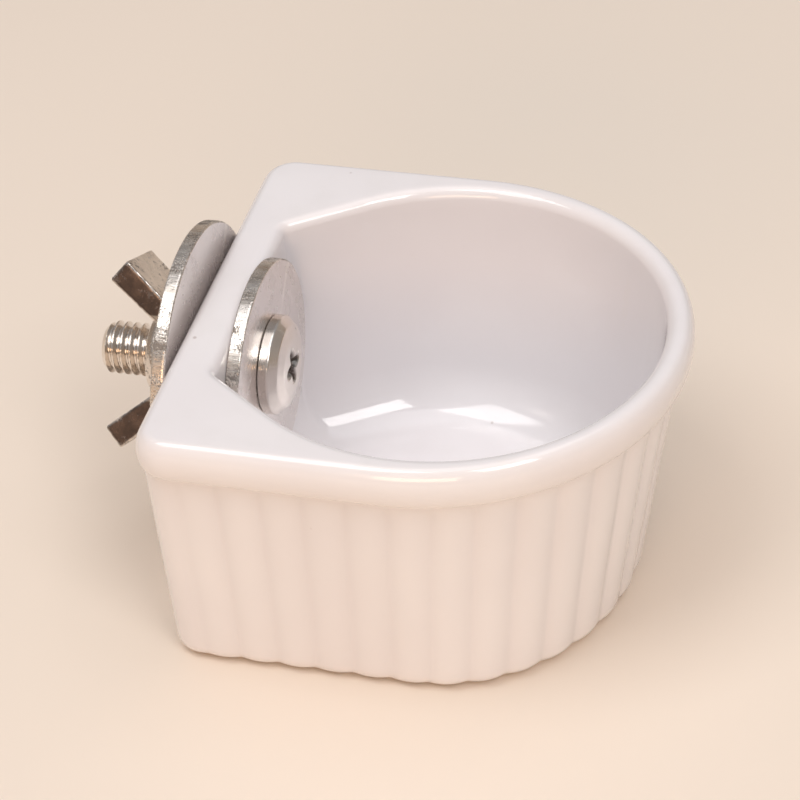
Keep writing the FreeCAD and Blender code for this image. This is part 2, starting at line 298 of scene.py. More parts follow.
def make_glaze_specks():
    """Rare small iron specks, one at most in each cell."""
    group, given, result = new_group(
        "glaze_specks", "ShaderNodeTree",
        [("Vector", "NodeSocketVector", None), ("Scale", "NodeSocketFloat", 260.0),
         ("Rarity", "NodeSocketFloat", 0.93), ("Size", "NodeSocketFloat", 0.06)],
        [("Mask", "NodeSocketFloat")],
    )
    cells = add_node(group, "ShaderNodeTexVoronoi")
    group.links.new(given["Vector"], cells.inputs["Vector"])
    group.links.new(given["Scale"], cells.inputs["Scale"])
    chance = add_node(group, "ShaderNodeSeparateColor")
    group.links.new(cells.outputs["Color"], chance.inputs[0])
    chosen = calc(group, "GREATER_THAN", chance.outputs[0], given["Rarity"])
    spot = remap(group, cells.outputs["Distance"], calc(group, "MULTIPLY", given["Size"], 1.5),
                 calc(group, "MULTIPLY", given["Size"], 0.6))
    group.links.new(calc(group, "MULTIPLY", spot, chosen), result["Mask"])
    return group


FINE_GRAIN = make_fine_grain()
GLAZE_SPECKS = make_glaze_specks()
PITTING = make_pitting()
EDGE_WEAR_AND_HOLLOWS = make_edge_wear_and_hollows()
SETTLED_DUST = make_dust()


# ---------------------------------------------------------------- materials

def new_material(name, viewport_colour):
    material = bpy.data.materials.new(name)
    material.use_nodes = True
    material.diffuse_color = (*viewport_colour, 1.0)
    tree = material.node_tree
    tree.nodes.clear()
    out = tree.nodes.new("ShaderNodeOutputMaterial")
    shader = tree.nodes.new("ShaderNodeBsdfPrincipled")
    tree.links.new(shader.outputs[0], out.inputs["Surface"])
    place = tree.nodes.new("ShaderNodeTexCoord").outputs["Object"]
    return material, tree, shader, place


def blend_colours(tree, amount, first, second):
    mix = add_node(tree, "ShaderNodeMix", data_type="RGBA")
    colour_slots = [mix.inputs[6], mix.inputs[7]]
    if isinstance(amount, (int, float)):
        mix.inputs[0].default_value = amount
    else:
        tree.links.new(amount, mix.inputs[0])
    for slot, value in zip(colour_slots, (first, second)):
        if isinstance(value, tuple):
            slot.default_value = (*value, 1.0)
        else:
            tree.links.new(value, slot)
    return mix.outputs[2]


def add_bump(tree, shader, height, distance, strength):
    bump = add_node(tree, "ShaderNodeBump")
    bump.inputs["Strength"].default_value = strength
    bump.inputs["Distance"].default_value = distance
    tree.links.new(height, bump.inputs["Height"])
    tree.links.new(bump.outputs[0], shader.inputs["Normal"])


def surface_value(tree, name):
    return add_node(tree, "ShaderNodeAttribute", attribute_name=name).outputs["Fac"]


def tint(tree, colour, mask, share, tone):
    """Lay a tone over a colour where a mask says, at a share of its strength."""
    amount = mask if share == 1.0 else calc(tree, "MULTIPLY", mask, share)
    return blend_colours(tree, amount, colour, tone)


def make_white_glaze():
    """Glossy white glaze with painted shade in the flute valleys, over a bare bisque foot."""
    material, tree, shader, place = new_material("white_glaze", (0.85, 0.82, 0.83))
    valley = surface_value(tree, "valley")
    bare = surface_value(tree, "bare")
    cloud = put_group(tree, FINE_GRAIN, Vector=place, Scale=260.0)
    dust = put_group(tree, SETTLED_DUST, Vector=place, Amount=0.12)
    specks = put_group(tree, GLAZE_SPECKS, Vector=place, Scale=240.0, Rarity=0.95, Size=0.05)
    wear = put_group(tree, EDGE_WEAR_AND_HOLLOWS, Vector=place, Sharpness=0.56)
    body = blend_colours(tree, remap(tree, cloud["Tone"], 0.35, 0.65), GLAZE_COOL, GLAZE_WARM)
    # The first tint paints shade into the flute valleys; the others are rubbed edges, iron specks and dust.
    for mask, share, tone in ((valley, 0.3, GLAZE_VALLEY_SHADE), (wear["Mask"], 0.25, GLAZE_RUBBED),
                              (specks["Mask"], 0.55, IRON_SPECK), (dust["Mask"], 1.0, GLAZE_DUST)):
        body = tint(tree, body, mask, share, tone)
    bisque_tone = put_group(tree, FINE_GRAIN, Vector=place, Scale=1400.0)
    bisque = blend_colours(tree, bisque_tone["Tone"], BISQUE_DARK, BISQUE_LIGHT)
    tree.links.new(blend_colours(tree, bare, body, bisque), shader.inputs["Base Color"])
    glossy = remap(tree, cloud["Tone"], 0.3, 0.7, 0.06, 0.11)
    glossy = calc(tree, "ADD", glossy, calc(tree, "MULTIPLY", dust["Mask"], 0.5))
    rough = calc(tree, "ADD", glossy, calc(tree, "MULTIPLY", bare, 0.7))
    tree.links.new(rough, shader.inputs["Roughness"])
    shader.inputs["IOR"].default_value = 1.52
    shader.inputs["Coat IOR"].default_value = 1.5
    shader.inputs["Coat Roughness"].default_value = 0.04
    gloss_left = calc(tree, "SUBTRACT", 1.0, bare)
    tree.links.new(calc(tree, "MULTIPLY", gloss_left, 0.35), shader.inputs["Coat Weight"])
    ripple = calc(tree, "MULTIPLY", cloud["Tone"], gloss_left)
    tooth = calc(tree, "MULTIPLY", calc(tree, "MULTIPLY", bisque_tone["Height"], bare), 0.25)
    add_bump(tree, shader, calc(tree, "ADD", ripple, tooth), 0.12 * MM, 0.5)
    return material


def make_plating(name, light, shade, roughness, pits, bump, grain_scale=700.0,
                 grain_stretch=(1.0, 1.0, 1.0), pit_scale=2600.0, cut=None):
    """Nickel plate: satin grain, bright worn edges, painted shade in the hollows, painted shade from the cut
    tone where one is given, and a few pits.
    """
    material, tree, shader, place = new_material(name, light)
    grain = put_group(tree, FINE_GRAIN, Vector=place, Scale=grain_scale, Stretch=grain_stretch)
    pit = put_group(tree, PITTING, Vector=place, Scale=pit_scale, Amount=pits, Patch_Scale=420.0)
    wear = put_group(tree, EDGE_WEAR_AND_HOLLOWS, Vector=place, Sharpness=0.54)
    dust = put_group(tree, SETTLED_DUST, Vector=place, Amount=0.1)
    colour = blend_colours(tree, remap(tree, grain["Tone"], 0.3, 0.7), shade, light)
    # The cut tone is painted shade, laid by the surface value read below: deep in the screw's cross recess
    # and on the narrow sides of the nut's wings.
    if cut is not None:
        colour = blend_colours(tree, surface_value(tree, "cut_face"), colour, cut)
    # The first of these tints is painted shade in the hollows; the others are pits, worn edges and dust.
    for mask, share, tone in ((wear["Hollow"], 0.6, PAINTED_HOLLOW_SHADE), (pit["Mask"], 0.75, PIT_TONE),
                              (wear["Mask"], 0.6, WORN_NICKEL), (dust["Mask"], 1.0, METAL_DUST)):
        colour = tint(tree, colour, mask, share, tone)
    tree.links.new(colour, shader.inputs["Base Color"])
    shader.inputs["Metallic"].default_value = 1.0
    rough = remap(tree, grain["Height"], 0.3, 0.7, roughness * 0.75, roughness * 1.3)
    rough = calc(tree, "ADD", rough, calc(tree, "MULTIPLY", pit["Mask"], 0.3))
    rough = calc(tree, "ADD", rough, calc(tree, "MULTIPLY", dust["Mask"], 0.4))
    tree.links.new(rough, shader.inputs["Roughness"])
    height = calc(tree, "ADD", grain["Height"], calc(tree, "MULTIPLY", pit["Height"], 1.5))
    add_bump(tree, shader, height, bump * MM, 0.6)
    return material


WHITE_GLAZE = make_white_glaze()
# The screw's cut tone is painted shade for its cross recess.
SCREW_PLATE = make_plating(
    "bright_nickel_screw", (0.90, 0.84, 0.78), (0.78, 0.715, 0.65), roughness=0.19, pits=-0.3, bump=0.008,
    cut=(0.12, 0.098, 0.088))
WASHER_FACE = make_plating(
    "satin_nickel_face", (0.80, 0.755, 0.73), (0.72, 0.675, 0.65), roughness=0.24, pits=-0.7, bump=0.002,
    grain_scale=500.0)
SHEARED_RIM = make_plating(
    "sheared_rim", (0.86, 0.80, 0.74), (0.62, 0.56, 0.50), roughness=0.27, pits=0.5, bump=0.05,
    grain_scale=2200.0, grain_stretch=(0.4, 1.6, 1.6), pit_scale=5200.0)
# The nut's cut tone is painted shade for the narrow sides of its wings.
NUT_PLATE = make_plating(
    "rough_nickel_nut", (0.78, 0.72, 0.66), (0.55, 0.49, 0.44), roughness=0.22, pits=0.18, bump=0.04,
    grain_scale=600.0, cut=(0.17, 0.13, 0.115))


# ---------------------------------------------------------------- mesh helpers

def ring_faces(rings, first_pole=False, last_pole=False, looped=False):
    """Faces between rings of equal point counts, with fans to poles that follow the rings' points."""
    levels, around = len(rings), len(rings[0])
    faces = []
    for i in range(levels if looped else levels - 1):
        low, high = i * around, (i + 1) % levels * around
        for j in range(around):
            k = (j + 1) % around
            faces.append((low + j, low + k, high + k, high + j))
    pole = levels * around
    if first_pole:
        faces += [(pole, (j + 1) % around, j) for j in range(around)]
        pole += 1
    if last_pole:
        low = (levels - 1) * around
        faces += [(low + j, low + (j + 1) % around, pole) for j in range(around)]
    return faces


def skin(name, rings, first_pole=None, last_pole=None, looped=False):
    """A closed skin over rings, ended by poles or joined into a loop, with its faces turned outwards."""
    points = [tuple(point) for ring in rings for point in ring]
    points += [tuple(pole) for pole in (first_pole, last_pole) if pole is not None]
    mesh = bpy.data.meshes.new(name)
    mesh.from_pydata(points, [], ring_faces(rings, first_pole is not None, last_pole is not None, looped))
    face_outwards(mesh)
    return mesh


def skin_kept(name, rings):
    """The cup's skin, whose points keep their order so that values can be laid on them."""
    points = [tuple(point) for ring in rings for point in ring]
    points += [(0.0, 0.0, 0.0), (0.0, 0.0, float(rings[-1][0][2]))]
    mesh = bpy.data.meshes.new(name)
    mesh.from_pydata(points, [], [face[::-1] for face in ring_faces(rings, True, True)])
    mesh.polygons.foreach_set("use_smooth", [True] * len(mesh.polygons))
    mesh.update()
    return mesh


def face_outwards(mesh):
    """Turn a closed mesh's faces outwards and shade it smooth."""
    work = bmesh.new()
    work.from_mesh(mesh)
    bmesh.ops.remove_doubles(work, verts=work.verts, dist=1e-8)
    bmesh.ops.recalc_face_normals(work, faces=work.faces)
    if work.calc_volume(signed=True) < 0:
        bmesh.ops.reverse_faces(work, faces=work.faces)
    work.to_mesh(mesh)
    work.free()
    mesh.polygons.foreach_set("use_smooth", [True] * len(mesh.polygons))
    mesh.update()


def rounded_profile(corners, step):
    """Points along a profile of (x, radius, corner radius) with its corners rounded."""
    points = []
    for i, (x, r, bend) in enumerate(corners):
        here = Vector((x, r))
        if bend == 0 or i in (0, len(corners) - 1):
            points.append(here)
            continue
        before = (Vector(corners[i - 1][:2]) - here).normalized()
        after = (Vector(corners[i + 1][:2]) - here).normalized()
        half = before.angle(after) / 2
        trim = bend / math.tan(half)
        centre = here + (before + after).normalized() * (bend / math.sin(half))
        start, end = here + before * trim, here + after * trim
        turn = math.pi - 2 * half
        count = max(3, math.ceil(turn / math.radians(15)))
        for n in range(count + 1):
            t = n / count
            arm = (start - centre) * math.sin((1 - t) * turn) + (end - centre) * math.sin(t * turn)
            points.append(centre + arm / math.sin(turn))
    filled = [points[0]]
    for a, b in zip(points, points[1:]):
        count = max(1, math.ceil((b - a).length / step))
        filled += [a.lerp(b, n / count) for n in range(1, count + 1)]
    return filled


def turned(name, profile, around, centre_z=None, looped=False):
    """Turn a profile about the screw's axis, or about a line parallel to it at another height."""
    centre_z = AXIS_Z if centre_z is None else centre_z
    angles = np.linspace(0, 2 * math.pi, around, endpoint=False)
    poles = [None, None]
    if not looped:
        poles = [(profile[0].x, 0, centre_z), (profile[-1].x, 0, centre_z)]
        profile = profile[1:-1]
    rings = [
        np.column_stack((np.full(around, p.x), p.y * np.cos(angles), centre_z + p.y * np.sin(angles)))
        for p in profile
    ]
    return skin(name, rings, poles[0], poles[1], looped)


def evaluated_copy(obj, name):
    """The object's mesh with its modifiers applied, as a plain mesh; the object goes."""
    bpy.context.view_layer.update()
    seen = obj.evaluated_get(bpy.context.evaluated_depsgraph_get())
    mesh = bpy.data.meshes.new_from_object(seen)
    mesh.name = name
    bpy.data.objects.remove(obj)
    return mesh


def work_object(mesh):
    obj = bpy.data.objects.new(mesh.name, mesh)
    bpy.context.scene.collection.objects.link(obj)
    return obj


def grown(mesh, tree, **values):
    """Run a geometry tree over a mesh with the given inputs and return the plain result."""
    obj = work_object(mesh)
    modifier = obj.modifiers.new(tree.name, "NODES")
    modifier.node_group = tree
    for item in tree.interface.items_tree:
        key = item.name.replace(" ", "_")
        if item.item_type == "SOCKET" and item.in_out == "INPUT" and key in values:
            modifier[item.identifier] = values[key]
    return evaluated_copy(obj, mesh.name)


def cut_away(mesh, *cutters):
    """Cut closed meshes out of a mesh."""
    obj = work_object(mesh)
    helpers = [work_object(cutter) for cutter in cutters]
    for helper in helpers:
        modifier = obj.modifiers.new("cut", "BOOLEAN")
        modifier.operation = "DIFFERENCE"
        modifier.solver = "EXACT"
        modifier.object = helper
    result = evaluated_copy(obj, mesh.name)
    for helper in helpers:
        bpy.data.objects.remove(helper)
    return result


def mark_creases(mesh, degrees):
    """Shade smooth except across edges sharper than the angle."""
    mesh.polygons.foreach_set("use_smooth", [True] * len(mesh.polygons))
    mesh.set_sharp_from_angle(angle=math.radians(degrees))


def hand_in(name, mesh, body, node):
    piece = bpy.data.objects.new(name, mesh)
    bpy.context.scene.collection.objects.link(piece)
    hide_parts(node)
    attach(piece, body)
    return piece


# ---------------------------------------------------------------- geometry trees

def geometry_tree(name, inputs):
    """A geometry group with a mesh, a material and named sizes as inputs."""
    listed = [("Geometry", "NodeSocketGeometry", None), ("Material", "NodeSocketMaterial", None)]
    return new_group(name, "GeometryNodeTree", listed + inputs, [("Geometry", "NodeSocketGeometry")])


def end_tree(tree, given, result, geometry):
    """Realize Instances and Set Material, then out."""
    real = add_node(tree, "GeometryNodeRealizeInstances")
    coat = add_node(tree, "GeometryNodeSetMaterial")
    tree.links.new(geometry, real.inputs[0])
    tree.links.new(real.outputs[0], coat.inputs["Geometry"])
    tree.links.new(given["Material"], coat.inputs["Material"])
    tree.links.new(coat.outputs[0], result["Geometry"])


def named_field(tree, name):
    node = add_node(tree, "GeometryNodeInputNamedAttribute", data_type="FLOAT")
    node.inputs["Name"].default_value = name
    return node.outputs["Attribute"]


def about_the_line(tree, given):
    """Each point's x, y and height about a line along X, and its distance from that line."""
    place = add_node(tree, "ShaderNodeSeparateXYZ")
    tree.links.new(add_node(tree, "GeometryNodeInputPosition").outputs[0], place.inputs[0])
    x, y = place.outputs[0], place.outputs[1]
    z = calc(tree, "SUBTRACT", place.outputs[2], given["Height"])
    squares = calc(tree, "ADD", calc(tree, "MULTIPLY", y, y), calc(tree, "MULTIPLY", z, z))
    return x, y, z, calc(tree, "SQRT", squares)


def drawn_in(tree, given, x, y, z, shrink):
    """Move the points towards the line by a factor; returns the Set Position node."""
    moved = add_node(tree, "ShaderNodeCombineXYZ")
    tree.links.new(x, moved.inputs[0])
    tree.links.new(calc(tree, "MULTIPLY", y, shrink), moved.inputs[1])
    tree.links.new(calc(tree, "ADD", calc(tree, "MULTIPLY", z, shrink), given["Height"]), moved.inputs[2])
    move = add_node(tree, "GeometryNodeSetPosition")
    tree.links.new(given["Geometry"], move.inputs["Geometry"])
    tree.links.new(moved.outputs[0], move.inputs["Position"])
    return move


def make_flute_tree():
    """Shallow convex ribs: the wall is pressed in along evenly spaced valleys."""
    tree, given, result = geometry_tree("flutes", [
        ("Pitch", "NodeSocketFloat", 0.0045), ("Depth", "NodeSocketFloat", 0.0004),
        ("Softness", "NodeSocketFloat", 0.3), ("Unevenness", "NodeSocketFloat", 0.25),
        ("Seed", "NodeSocketFloat", 3.0),
    ])
    along = named_field(tree, "along")
    ribbed = named_field(tree, "ribbed")
    turns = calc(tree, "DIVIDE", along, given["Pitch"])
    offset = calc(tree, "WRAP", turns, 0.5, -0.5)
    valley = calc(tree, "MULTIPLY", calc(tree, "MULTIPLY", offset, offset), 4.0)
    valley = calc(tree, "SMOOTH_MIN", valley, 0.92, given["Softness"])
    wobble = add_node(tree, "ShaderNodeTexNoise", noise_dimensions="4D")
    wobble.inputs["Scale"].default_value = 90.0
    wobble.inputs["Detail"].default_value = 1.0
    tree.links.new(given["Seed"], wobble.inputs["W"])
    uneven = calc(tree, "MULTIPLY", calc(tree, "SUBTRACT", wobble.outputs[0], 0.5), given["Unevenness"])
    strength = calc(tree, "MULTIPLY", ribbed, calc(tree, "ADD", uneven, 0.9))
    pressed = calc(tree, "MULTIPLY", valley, strength)
    keep = add_node(tree, "GeometryNodeStoreNamedAttribute", data_type="FLOAT", domain="POINT")
    keep.inputs["Name"].default_value = "valley"
    tree.links.new(given["Geometry"], keep.inputs["Geometry"])
    tree.links.new(pressed, keep.inputs["Value"])
    normal = add_node(tree, "GeometryNodeInputNormal")
    shift = add_node(tree, "ShaderNodeVectorMath", operation="SCALE")
    tree.links.new(normal.outputs[0], shift.inputs[0])
    depth = calc(tree, "MULTIPLY", calc(tree, "MULTIPLY", pressed, given["Depth"]), -1.0)
    tree.links.new(depth, shift.inputs["Scale"])
    move = add_node(tree, "GeometryNodeSetPosition")
    tree.links.new(keep.outputs[0], move.inputs["Geometry"])
    tree.links.new(shift.outputs[0], move.inputs["Offset"])
    end_tree(tree, given, result, move.outputs[0])
    return tree


def make_thread_tree():
    """A right-hand thread pressed into a turned rod that lies along X."""
    tree, given, result = geometry_tree("thread", [
        ("Start", "NodeSocketFloat", 0.0), ("End", "NodeSocketFloat", 0.016),
        ("Height", "NodeSocketFloat", 0.0), ("Major Radius", "NodeSocketFloat", 0.00295),
        ("Depth", "NodeSocketFloat", 0.00056), ("Pitch", "NodeSocketFloat", 0.001),
        ("Run Out", "NodeSocketFloat", 0.001),
    ])
    x, y, z, radius = about_the_line(tree, given)
    turn = calc(tree, "DIVIDE", calc(tree, "ARCTAN2", z, y), 2 * math.pi)
    along = calc(tree, "DIVIDE", calc(tree, "SUBTRACT", x, given["Start"]), given["Pitch"])
    offset = calc(tree, "WRAP", calc(tree, "SUBTRACT", along, turn), 0.5, -0.5)
    sunk = remap(tree, calc(tree, "ABSOLUTE", offset), CREST_HALF, ROOT_HALF, smooth=False)
    fade_from = calc(tree, "SUBTRACT", given["End"], given["Run Out"])
    sunk = calc(tree, "MULTIPLY", sunk, remap(tree, x, fade_from, given["End"], 1.0, 0.0, smooth=False))
    cut_r = calc(tree, "SUBTRACT", given["Major Radius"], calc(tree, "MULTIPLY", sunk, given["Depth"]))
    shrink = calc(tree, "DIVIDE", calc(tree, "MINIMUM", radius, cut_r), radius)
    move = drawn_in(tree, given, x, y, z, shrink)
    tree.links.new(calc(tree, "LESS_THAN", x, given["End"]), move.inputs["Selection"])
    end_tree(tree, given, result, move.outputs[0])
    return tree


def make_shear_tree():
    """The torn band of a blanked edge: short striations across the thickness, pressed inwards."""
    tree, given, result = geometry_tree("sheared_edge", [
        ("Rim Material", "NodeSocketMaterial", None), ("Depth", "NodeSocketFloat", 0.00008),
        ("Rim Radius", "NodeSocketFloat", 0.0125), ("Height", "NodeSocketFloat", 0.0),
        ("Seed", "NodeSocketFloat", 1.0),
    ])
    x, y, z, radius = about_the_line(tree, given)
    inner_r = calc(tree, "SUBTRACT", given["Rim Radius"], SHEAR_FADE)
    near_rim = remap(tree, radius, inner_r, given["Rim Radius"])
    flat = add_node(tree, "ShaderNodeCombineXYZ")
    tree.links.new(calc(tree, "MULTIPLY", x, 0.22), flat.inputs[0])
    tree.links.new(y, flat.inputs[1])
    tree.links.new(z, flat.inputs[2])
    torn = add_node(tree, "ShaderNodeTexNoise", noise_dimensions="4D")
    torn.inputs["Scale"].default_value = 3200.0
    torn.inputs["Detail"].default_value = 2.0
    tree.links.new(flat.outputs[0], torn.inputs["Vector"])
    tree.links.new(given["Seed"], torn.inputs["W"])
    inward = calc(tree, "MULTIPLY", torn.outputs[0], near_rim)
    inward = calc(tree, "MULTIPLY", inward, given["Depth"])
    shrink = calc(tree, "DIVIDE", calc(tree, "SUBTRACT", radius, inward), radius)
    move = drawn_in(tree, given, x, y, z, shrink)
    real = add_node(tree, "GeometryNodeRealizeInstances")
    tree.links.new(move.outputs[0], real.inputs[0])
    face_coat = add_node(tree, "GeometryNodeSetMaterial")
    tree.links.new(real.outputs[0], face_coat.inputs["Geometry"])
    tree.links.new(given["Material"], face_coat.inputs["Material"])
    rim_coat = add_node(tree, "GeometryNodeSetMaterial")
    tree.links.new(face_coat.outputs[0], rim_coat.inputs["Geometry"])
    tree.links.new(given["Rim Material"], rim_coat.inputs["Material"])
    edge_r = calc(tree, "SUBTRACT", given["Rim Radius"], SHEARED_BAND)
    tree.links.new(calc(tree, "GREATER_THAN", radius, edge_r), rim_coat.inputs["Selection"])
    tree.links.new(rim_coat.outputs[0], result["Geometry"])
    return tree


# ---------------------------------------------------------------- feeding cup

BACK_POINTS, CORNER_POINTS, RUN_POINTS = 18, 10, 230


def flat_backed_outline(back, back_half, half_width, front, front_length, corner_r):
    """A flat-backed D as (x, y): half of the back, a corner, the run round to the front, then its mirror."""
    centre = front - front_length
    across = (back - centre) / front_length
    up = back_half / half_width
    angle = math.atan2(up, across) - math.acos(1 / math.hypot(across, up))
    touch = np.array((centre + front_length * math.cos(angle), half_width * math.sin(angle)))
    corner = np.array((back, back_half))
    side = (touch - corner) / np.linalg.norm(touch - corner)
    half_angle = math.acos(-side[1]) / 2
    trim = corner_r / math.tan(half_angle)
    on_back, on_side = corner - (0, trim), corner + side * trim
    pull = side - (0, 1)
    hub = corner + pull / np.linalg.norm(pull) * corner_r / math.sin(half_angle)
    turn = math.pi - 2 * half_angle
    half = [on_back * (1, t) for t in np.linspace(0, 1, BACK_POINTS, endpoint=False)]
    for t in np.linspace(0, 1, CORNER_POINTS, endpoint=False):
        arm = (on_back - hub) * math.sin((1 - t) * turn) + (on_side - hub) * math.sin(t * turn)
        half.append(hub + arm / math.sin(turn))
    sweep = np.linspace(angle, 0, 3000)
    run = np.column_stack((centre + front_length * np.cos(sweep), half_width * np.sin(sweep)))
    run = np.vstack((on_side, run))
    reach = np.concatenate(([0], np.cumsum(np.linalg.norm(np.diff(run, axis=0), axis=1))))
    even = np.linspace(0, reach[-1], RUN_POINTS)
    run = np.column_stack((np.interp(even, reach, run[:, 0]), np.interp(even, reach, run[:, 1])))
    half = np.vstack((half, run))
    return np.vstack((half, half[-2:0:-1] * (1, -1)))


def wall_outline(z, inset):
    low = 1 - z / CUP_HEIGHT
    half_width = HALF_WIDTH - inset - SIDE_DRAFT * low
    return flat_backed_outline(
        BACK_X, half_width, half_width, FRONT_X - inset - FRONT_DRAFT * low,
        FRONT_LENGTH - (FRONT_DRAFT + FRONT_SHIFT) * low, BACK_CORNER_R)


def rim_outline(inset):
    """The rim drawn in on every side, the back too."""
    half_width = HALF_WIDTH - inset
    return flat_backed_outline(
        BACK_X + inset, half_width, half_width, FRONT_X - inset,
        FRONT_LENGTH - inset, max(BACK_CORNER_R - inset, 0.5 * MM))


def hollow_outline(z, inset):
    low = 1 - z / CUP_HEIGHT
    return flat_backed_outline(
        SEAT_X + inset, HOLLOW_BACK_WIDTH / 2 - inset / 2,
        HALF_WIDTH - SIDE_WALL - HOLLOW_SIDE_DRAFT * low - inset,
        FRONT_X - FRONT_WALL - HOLLOW_FRONT_DRAFT * low - inset,
        HOLLOW_FRONT_LENGTH - (HOLLOW_FRONT_DRAFT - HOLLOW_SIDE_DRAFT) * low - inset,
        HOLLOW_CORNER_R + max(inset, 0) * 0.5 + max(-inset, 0) * 2.0)


def run_length():
    """Length of the fluted run from a back corner to the middle of the front."""
    half = wall_outline(CUP_HEIGHT / 2, RIM_OVERHANG)[BACK_POINTS + CORNER_POINTS:][:RUN_POINTS]
    return float(np.linalg.norm(np.diff(half, axis=0), axis=1).sum())


def level(outline, z, ribbed=0.0, bare=0.0):
    """One ring of the cup's skin, with how deep its flutes are and whether it is unglazed."""
    return np.column_stack((outline, np.full(len(outline), z))), ribbed, bare


def quarter(steps, first=0):
    """Even angles of a quarter turn."""
    return [QUARTER_TURN * i / steps for i in range(first, steps + 1)]


def foot_levels():
    """The flat underside from near its middle, and the rounded edge round it."""
    foot = wall_outline(0, RIM_OVERHANG + FOOT_EDGE_R)
    levels = [level(foot * t, 0.0, bare=1.0) for t in (0.02, 0.2, 0.4, 0.6, 0.78, 0.88, 0.93, 0.96)]
    for i, t in enumerate(quarter(9)):
        z = FOOT_EDGE_R * (1 - math.cos(t))
        outline = wall_outline(z, RIM_OVERHANG + FOOT_EDGE_R * (1 - math.sin(t)))
        ribbed = FOOT_FLUTES + (1 - FOOT_FLUTES) * t / QUARTER_TURN
        levels.append(level(outline, z, ribbed, 1.0 if i < 2 else 0.0))
    return levels


def wall_levels():
    """The fluted wall; the flutes fade out just under the rim."""
    levels = []
    for z in np.linspace(FOOT_EDGE_R, NECK_Z, 24)[1:]:
        fade = min(1.0, max(0.0, (NECK_Z + 0.2 * MM - z) / FLUTE_FADE))
        levels.append(level(wall_outline(z, RIM_OVERHANG), z, math.sin(fade * QUARTER_TURN)))
    for t in quarter(5, 1):
        inset = RIM_OVERHANG - NECK_R * (1 - math.cos(t))
        levels.append(level(wall_outline(NECK_Z, inset), NECK_Z + NECK_R * math.sin(t)))
    return levels


def rim_levels():
    """The rolled rim: its underside, its rounded top and the flat land inside it."""
    levels = []
    for t in quarter(9, 1):
        z = NECK_Z + NECK_R + (RIM_CREST_Z - NECK_Z - NECK_R) * (1 - math.cos(t))
        levels.append(level(wall_outline(z, RIM_BELLY * (1 - math.sin(t))), z))
    for t in quarter(12, 1):
        z = RIM_CREST_Z + (CUP_HEIGHT - RIM_CREST_Z) * math.sin(t)
        draft = wall_outline(z, 0) - wall_outline(CUP_HEIGHT, 0)
        levels.append(level(rim_outline(RIM_TOP_R * (1 - math.cos(t))) + draft, z))
    lip = rim_outline(RIM_TOP_R)
    mouth = hollow_outline(CUP_HEIGHT, -MOUTH_R)
    return levels + [level(lip + (mouth - lip) * t, CUP_HEIGHT) for t in (0.2, 0.4, 0.6, 0.8)]


def hollow_levels():
    """Down from the mouth's rounded edge, round the floor's corner and in to its middle."""
    levels = []
    for t in quarter(10):
        z = CUP_HEIGHT - MOUTH_R * (1 - math.cos(t))
        levels.append(level(hollow_outline(z, -MOUTH_R * (1 - math.sin(t))), z))
    for z in np.linspace(CUP_HEIGHT - MOUTH_R, FLOOR_THICKNESS + FLOOR_R, 18)[1:]:
        levels.append(level(hollow_outline(z, 0), z))
    for t in quarter(12, 1):
        z = FLOOR_THICKNESS + FLOOR_R * (1 - math.sin(t))
        levels.append(level(hollow_outline(z, FLOOR_R * (1 - math.cos(t))), z))
    floor = levels[-1][0][:, :2]
    return levels + [level(floor * t, FLOOR_THICKNESS) for t in (0.9, 0.75, 0.55, 0.35, 0.15, 0.02)]


def set_values(mesh, name, values):
    layer = mesh.attributes.new(name, "FLOAT", "POINT")
    layer.data.foreach_set("value", np.asarray(values, dtype=np.float32))


def stations(run, around):
    """For each point of an outline: its signed place along the flutes' run, and how ribbed it is there."""
    start = BACK_POINTS + CORNER_POINTS
    half_count = start + RUN_POINTS
    place, ribbed = np.zeros(around), np.zeros(around)
    for j in range(around):
        k = j if j < half_count else 2 * half_count - 2 - j
        sign = 1.0 if j < half_count else -1.0
        place[j] = sign * (half_count - 1 - k) / (RUN_POINTS - 1) * run
        ribbed[j] = min(1.0, max(0.0, (k - start + CORNER_POINTS / 2) / 8))
    return place, ribbed


def hole_cutter():
    """The screw's hole, with a soft flare at each end."""
    flare, near, wider = HOLE_FLARE, 0.3 * HOLE_FLARE, 0.35 * HOLE_FLARE
    return turned("hole_cutter", [Vector(p) for p in (
        (BACK_X - flare, 0), (BACK_X - flare, HOLE_R + 2 * flare), (BACK_X, HOLE_R + flare),
        (BACK_X + near, HOLE_R + wider), (BACK_X + flare, HOLE_R),
        (SEAT_X - flare, HOLE_R), (SEAT_X - near, HOLE_R + wider), (SEAT_X, HOLE_R + flare),
        (SEAT_X + flare, HOLE_R + 2 * flare), (SEAT_X + flare, 0))], 64)


def make_cup():
    levels = foot_levels() + wall_levels() + rim_levels() + hollow_levels()
    rings = [outline for outline, ribbed, bare in levels]
    run = run_length()
    place, ribbed_there = stations(run, len(rings[0]))
    mesh = skin_kept("feeding_cup", rings)
    # The last two values belong to the poles, under the foot and on the floor.
    for name, values, poles in (
        ("ribbed", np.concatenate([ribbed * ribbed_there for outline, ribbed, bare in levels]), (0.0, 0.0)),
        ("bare", np.repeat([bare for outline, ribbed, bare in levels], len(rings[0])), (1.0, 0.0)),
        ("along", np.tile(place, len(levels)), (0.0, 0.0)),
    ):
        set_values(mesh, name, np.concatenate((values, poles)))
    ribs = round(2 * run / FLUTE_PITCH)
    mesh = grown(mesh, make_flute_tree(), Material=WHITE_GLAZE, Pitch=2 * run / ribs, Depth=FLUTE_DEPTH,
                 Softness=0.45, Unevenness=0.3, Seed=3.0)
    mesh = cut_away(mesh, hole_cutter())
    mark_creases(mesh, 60)
    hand_in("feeding_cup", mesh, "feeder_cup", "feeder_cup")


# ---------------------------------------------------------------- screw

